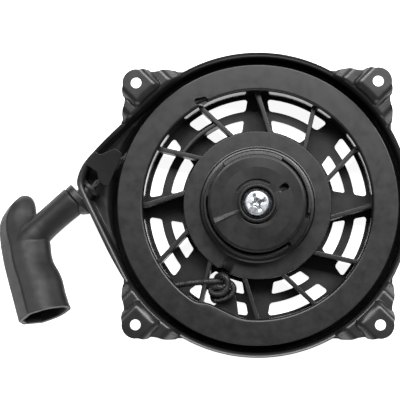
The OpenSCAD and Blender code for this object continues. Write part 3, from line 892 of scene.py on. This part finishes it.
# the strand's way into the pocket, round itself and back to the middle, from the axis, in mm
pocketKnot = [
    (-54.5, -49.6, -19), (-46, -48.4, -20.2), (-38, -47.3, -21), (-30, -46.9, -21.6),
    (-23.6, -46.8, -21.8), (-17.8, -47.4, -22), (-14.8, -50.8, -22.2), (-16.2, -55, -22.4),
    (-20.6, -57.6, -22.6), (-25.8, -58.4, -23.4), (-27.4, -56, -26), (-26.2, -51.4, -27),
    (-25.6, -46.6, -26), (-24.2, -43.8, -22.6), (-21.2, -43.4, -18.6), (-18.5, -45.8, -17.6),
    (-18.4, -50.2, -18.8), (-20.8, -53.6, -19.6), (-24.4, -54.8, -20.2), (-27.6, -54.2, -21.4),
    (-28.2, -51.8, -22.6), (-25.8, -50.5, -21.2), (-22.8, -50.4, -20.2), (-21, -50.6, -21),
]


def buildRope():
    bm = bmesh.new()
    neck = [onRope(t * mm) for t in (37.4, 50, 62, 75, 90, 105, 117.5)]
    addBraid(bm, neck, rope["runStep"])
    run = makePiece("ropeRun", bm, braid, None, ["rope_run"], 60)
    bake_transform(run)
    bm = bmesh.new()
    for turn in range(rope["turns"]):
        radius = rope["groove"] + turn * rope["coilStep"] + rope["diameter"] / 2
        circle = rounded([(radius + a, b, 1.6) for a, b in ((-2, -2), (2, -2), (2, 2), (-2, 2))], 5)
        spinSolid(bm, [(p[0], p[1] + ropeZ) for p in circle], 160)
    makePiece("ropeCoil", bm, braid, "pulley", ["rope_coil"], 50)
    bm = bmesh.new()
    addBraid(bm, [Vector(p) * mm for p in pocketKnot], rope["step"])
    makePiece("pulleyKnot", bm, braid, "pulley", ["pulley_knot"], 60)
    bm = bmesh.new()
    centre = onRope(121.5 * mm)
    tied = knotPoints(centre + pullDir * 0.5 * mm, pullDir, pullSide)
    addBraid(bm, [onRope(117.8 * mm)] + tied, rope["step"])
    makePiece("gripKnot", bm, braid, "handle", ["grip_knot"], 60)


eyelet = {
    "seat": 67,  # where its flange starts along the rope, in mm; the heights below run from there
    "outline": [(2.7, 0, 0.4), (7.2, 0, 0.6), (7.2, 2.6, 0.6), (5.4, 2.6, 0.3), (5.4, 8.8, 0.3),
                (10.6, 8.8, 0.7), (10.7, 12.9, 0.9), (8.0, 16.4, 0.8), (6.4, 16.6, 0.6),
                (3.6, 16.6, 0.6), (2.7, 15.2, 0.6)],
    "ovalFrom": 8, "core": 5.6, "oval": 0.66,
}


def buildEyelet():
    bm = bmesh.new()
    spinSolid(bm, rounded(eyelet["outline"], 4), 96)
    for vert in bm.verts:  # the outer part is oval, low enough to pass under the lip
        away = math.hypot(vert.co.x, vert.co.y)
        if vert.co.z > eyelet["ovalFrom"] * mm and away > eyelet["core"] * mm:
            vert.co.y *= eyelet["oval"]
    bmesh.ops.transform(bm, matrix=ropeMatrix(eyelet["seat"]), verts=bm.verts)
    makePiece("ropeEyelet", bm, acetal, "housing", ["rope_eyelet"])


buildRope()
buildEyelet()
print("rope made")


# ---- handle

grip = {
    "middle": 118.4, "rake": 26.0, "roll": 20.0, "long": 48.0, "wall": 3.2,
    "voxel": 0.5, "smoothing": 11,
    # half sizes at distances along the grip, in mm
    "back": [(-32.5, 0.6), (-32.1, 2.0), (-31, 3.8), (-29.4, 6.7), (-26.6, 10.4), (-22.5, 14.5),
             (-18.3, 17.0), (-12, 18.4), (-3, 19.0), (10, 19.1), (22, 18.4), (48, 16.8), (52, 16.6)],
    "front": [(-32.5, 1.4), (-32.1, 3.2), (-31, 4.9), (-29.4, 6.3), (-27, 7.2), (-24, 7.4), (-20, 7.1),
              (-16, 6.4), (-9, 6.8), (-5, 9.4), (-1, 11.4), (4, 11.5), (11, 10.7), (16, 11.1),
              (20, 12.3), (24, 13.6), (29, 14.4), (36, 14.4), (44, 15.1), (48, 15.9), (52, 16.6)],
    "height": [(-32.5, 1.0), (-32.1, 2.2), (-31, 3.3), (-29.4, 4.8), (-27, 6.4), (-22, 7.6),
               (-14, 8.2), (-6, 9.6), (2, 10.4), (12, 10.6), (48, 11.6), (52, 11.8)],
    # place along the rope, radius, and drop to the side, in mm
    "neck": [(80.6, 9.2, 2.2), (84, 9.2, 2.3), (90, 9.0, 2.6), (97, 8.9, 2.8), (104, 8.9, 2.9),
             (109, 9.2, 2.8), (114, 9.9, 2.5), (119, 10.2, 2.2), (124, 10.0, 2.4), (127, 9.0, 2.8),
             (128.5, 6.0, 3.2)],
    # the hollow over the eyelet's cone, from the eyelet's seat, and how oval it is
    "socket": [(0.001, 8), (12, 8), (12, 12.0), (10.9, 13.2), (8.2, 16.6), (7.0, 16.8), (0.001, 16.8)],
    "socketOval": 0.69, "plug": 5.2, "ropeHole": 2.6,
}
roll, rake = math.radians(grip["roll"]), math.radians(grip["rake"])
rolled = pullSide * math.cos(roll) + Vector((0, 0, math.sin(roll)))
barDir = rolled * math.cos(rake) + pullDir * math.sin(rake)
outDir = pullDir * math.cos(rake) - rolled * math.sin(rake)
upDir = barDir.cross(outDir)
upAcross = pullDir.cross(rolled) * -1
gripMiddle = onRope(grip["middle"] * mm)


def lineAt(line, s):
    for (a, low), (b, high) in zip(line, line[1:]):
        if s <= b:
            return low + (high - low) * max(0.0, (s - a) / (b - a))
    return line[-1][1]


def gripRing(s, wall=0.0):
    back, front, height = (lineAt(grip[key], s) - wall for key in ("back", "front", "height"))
    middle, depth = (back - front) / 2, (back + front) / 2
    corners = [(1, 0.34, 0.05), (0.42, 1, 0.05), (-0.36, 0.97, 0.9), (-1, 0.3, 0.6),
               (-1, -0.3, 0.6), (-0.36, -0.97, 0.9), (0.42, -1, 0.05), (1, -0.34, 0.05)]
    unit = [p / mm for p in rounded(corners, 5)]
    return [gripMiddle + (barDir * s + outDir * (middle + depth * p[0]) + upDir * (height * p[1])) * mm
            for p in unit]


def neckRing(t, radius, drop):
    ring = []
    for k in range(64):
        turn = tau * k / 64
        spot = rolled * (radius * math.cos(turn) - drop) + upAcross * (radius * math.sin(turn))
        ring.append(onRope(t * mm) + spot * mm)
    return ring


def buildHandle():
    bm = bmesh.new()
    stations = [-32.5, -32.1, -31.6, -31, -30.2, -29.4, -28.2, -27, -25.5, -24]
    stations += [-22 + 2 * i for i in range(36)]
    addLoft(bm, [gripRing(s) for s in stations])
    body = tool(bm, "gripBody")
    bm = bmesh.new()
    addLoft(bm, [neckRing(*station) for station in grip["neck"]])
    joinedWith(body, tool(bm))
    change = body.modifiers.new("voxels", "REMESH")
    change.mode = "VOXEL"
    change.voxel_size = grip["voxel"] * mm
    soften = body.modifiers.new("soften", "SMOOTH")
    soften.factor = 0.5
    soften.iterations = grip["smoothing"]
    bm = bmesh.new()
    bm.from_mesh(bakedMesh(body))
    bpy.data.objects.remove(body)
    piece = makePiece("handleGrip", bm, gripPlastic)
    long, wall = grip["long"], grip["wall"]
    bm = bmesh.new()  # square off the open end
    end = gripMiddle + barDir * (long - 0.6) * mm
    turned = Matrix((outDir, upDir, barDir)).transposed().to_4x4()
    block = Matrix.Translation(end + barDir * 10 * mm) @ turned
    size = Matrix.Diagonal((60 * mm, 60 * mm, 20 * mm, 1))
    bmesh.ops.create_cube(bm, size=1, matrix=block @ size)
    cutWith(piece, tool(bm))
    bm = bmesh.new()
    hollow = [gripRing(s, wall + 0.4) for s in (-6, 4, 16, 28, 38)]
    hollow += [gripRing(long - 2.0, wall), gripRing(long - 0.8, wall - 0.6),
               gripRing(long + 2, wall - 2.4)]
    addLoft(bm, hollow)
    cutWith(piece, tool(bm))
    joinedWith(piece, rodTool(grip["plug"], 12, ropeMatrix(104), 48))
    bm = bmesh.new()  # the neck's end sits over the eyelet's cone
    spinSolid(bm, [Vector(p) * mm for p in grip["socket"]], 64)
    for vert in bm.verts:
        vert.co.y *= grip["socketOval"]
    bmesh.ops.remove_doubles(bm, verts=bm.verts, dist=1e-5)
    bmesh.ops.transform(bm, matrix=ropeMatrix(eyelet["seat"]), verts=bm.verts)
    cutWith(piece, tool(bm))
    cutWith(piece, rodTool(grip["ropeHole"], 40, ropeMatrix(80), 40))
    wear(piece, gripPlastic)
    finishPiece(piece, 40)
    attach(piece, "handle")
    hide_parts("handle_grip")


buildHandle()
print("handle made")


# ---- pieces kept from the frame

kept = {
    "centre_post": steel, "thrust_washer": steel, "hub_bushing": bronze, "rewind_spring": springSteel,
    "spring_cover": steel, "cover_screws": zinc, "dog_a": plateNylon, "dog_b": plateNylon,
    "dog_spring_a": steel, "dog_spring_b": steel, "friction_spring": steel, "grip_washer": steel,
}
for name, material in kept.items():
    wear(frame["nodes"][name], material)


# ---- floor, light and camera

studio = {
    "floorHalf": 4, "floorGap": 0.0002, "floorColour": "#f2f2f2", "floorGlow": 0.9,
    # name, place, target, size and watts
    "lights": [("northBox", (0.14, 0.80, 1.3), (0, 0.05, 0), (2.3, 0.42), 57),
               ("southBox", (-0.1, -1.3, 0.45), (0, 0, 0), (1.4, 0.6), 9)],
    "sky": (0.95, 0.97, 1.0, 1), "skyPower": 0.09,
    "lens": 129.4, "sensor": 36, "eye": (0.0095, -0.060, 0.860), "aim": (-0.0342, 0.0017, 0),
}


def buildFloor():
    bm = bmesh.new()
    bmesh.ops.create_grid(bm, x_segments=2, y_segments=2, size=studio["floorHalf"])
    bmesh.ops.translate(bm, vec=(0, 0, domeZ - studio["floorGap"]), verts=bm.verts)
    settings = {"Base Color": linearColour(studio["floorColour"]), "Roughness": 0.9,
                "Emission Color": (1, 1, 1, 1), "Emission Strength": studio["floorGlow"]}
    floor = newObject("floor", bm)
    wear(floor, newMaterial("paleSweep", settings)[0])


def addLight(name, place, target, size, power):
    data = bpy.data.lights.new(name, "AREA")
    data.shape = "RECTANGLE"
    data.size, data.size_y = size
    data.energy = power
    light = bpy.data.objects.new(name, data)
    bpy.context.scene.collection.objects.link(light)
    light.location = place
    light.rotation_euler = (Vector(target) - Vector(place)).to_track_quat("-Z", "Y").to_euler()


def addCamera():
    lens = bpy.data.cameras.new("camera")
    lens.lens = studio["lens"]
    lens.sensor_width = studio["sensor"]
    camera = bpy.data.objects.new("camera", lens)
    bpy.context.scene.collection.objects.link(camera)
    camera.location = studio["eye"]
    back = (camera.location - Vector(studio["aim"])).normalized()
    right = Vector((0, 1, 0)).cross(back).normalized()
    camera.rotation_euler = Matrix((right, back.cross(right), back)).transposed().to_euler()
    bpy.context.scene.camera = camera


buildFloor()
for light in studio["lights"]:
    addLight(*light)
world = bpy.data.worlds.new("studio")
bpy.context.scene.world = world
world.use_nodes = True
sky = world.node_tree.nodes["Background"]
sky.inputs[0].default_value = studio["sky"]
sky.inputs[1].default_value = studio["skyPower"]
addCamera()
print("stage made")
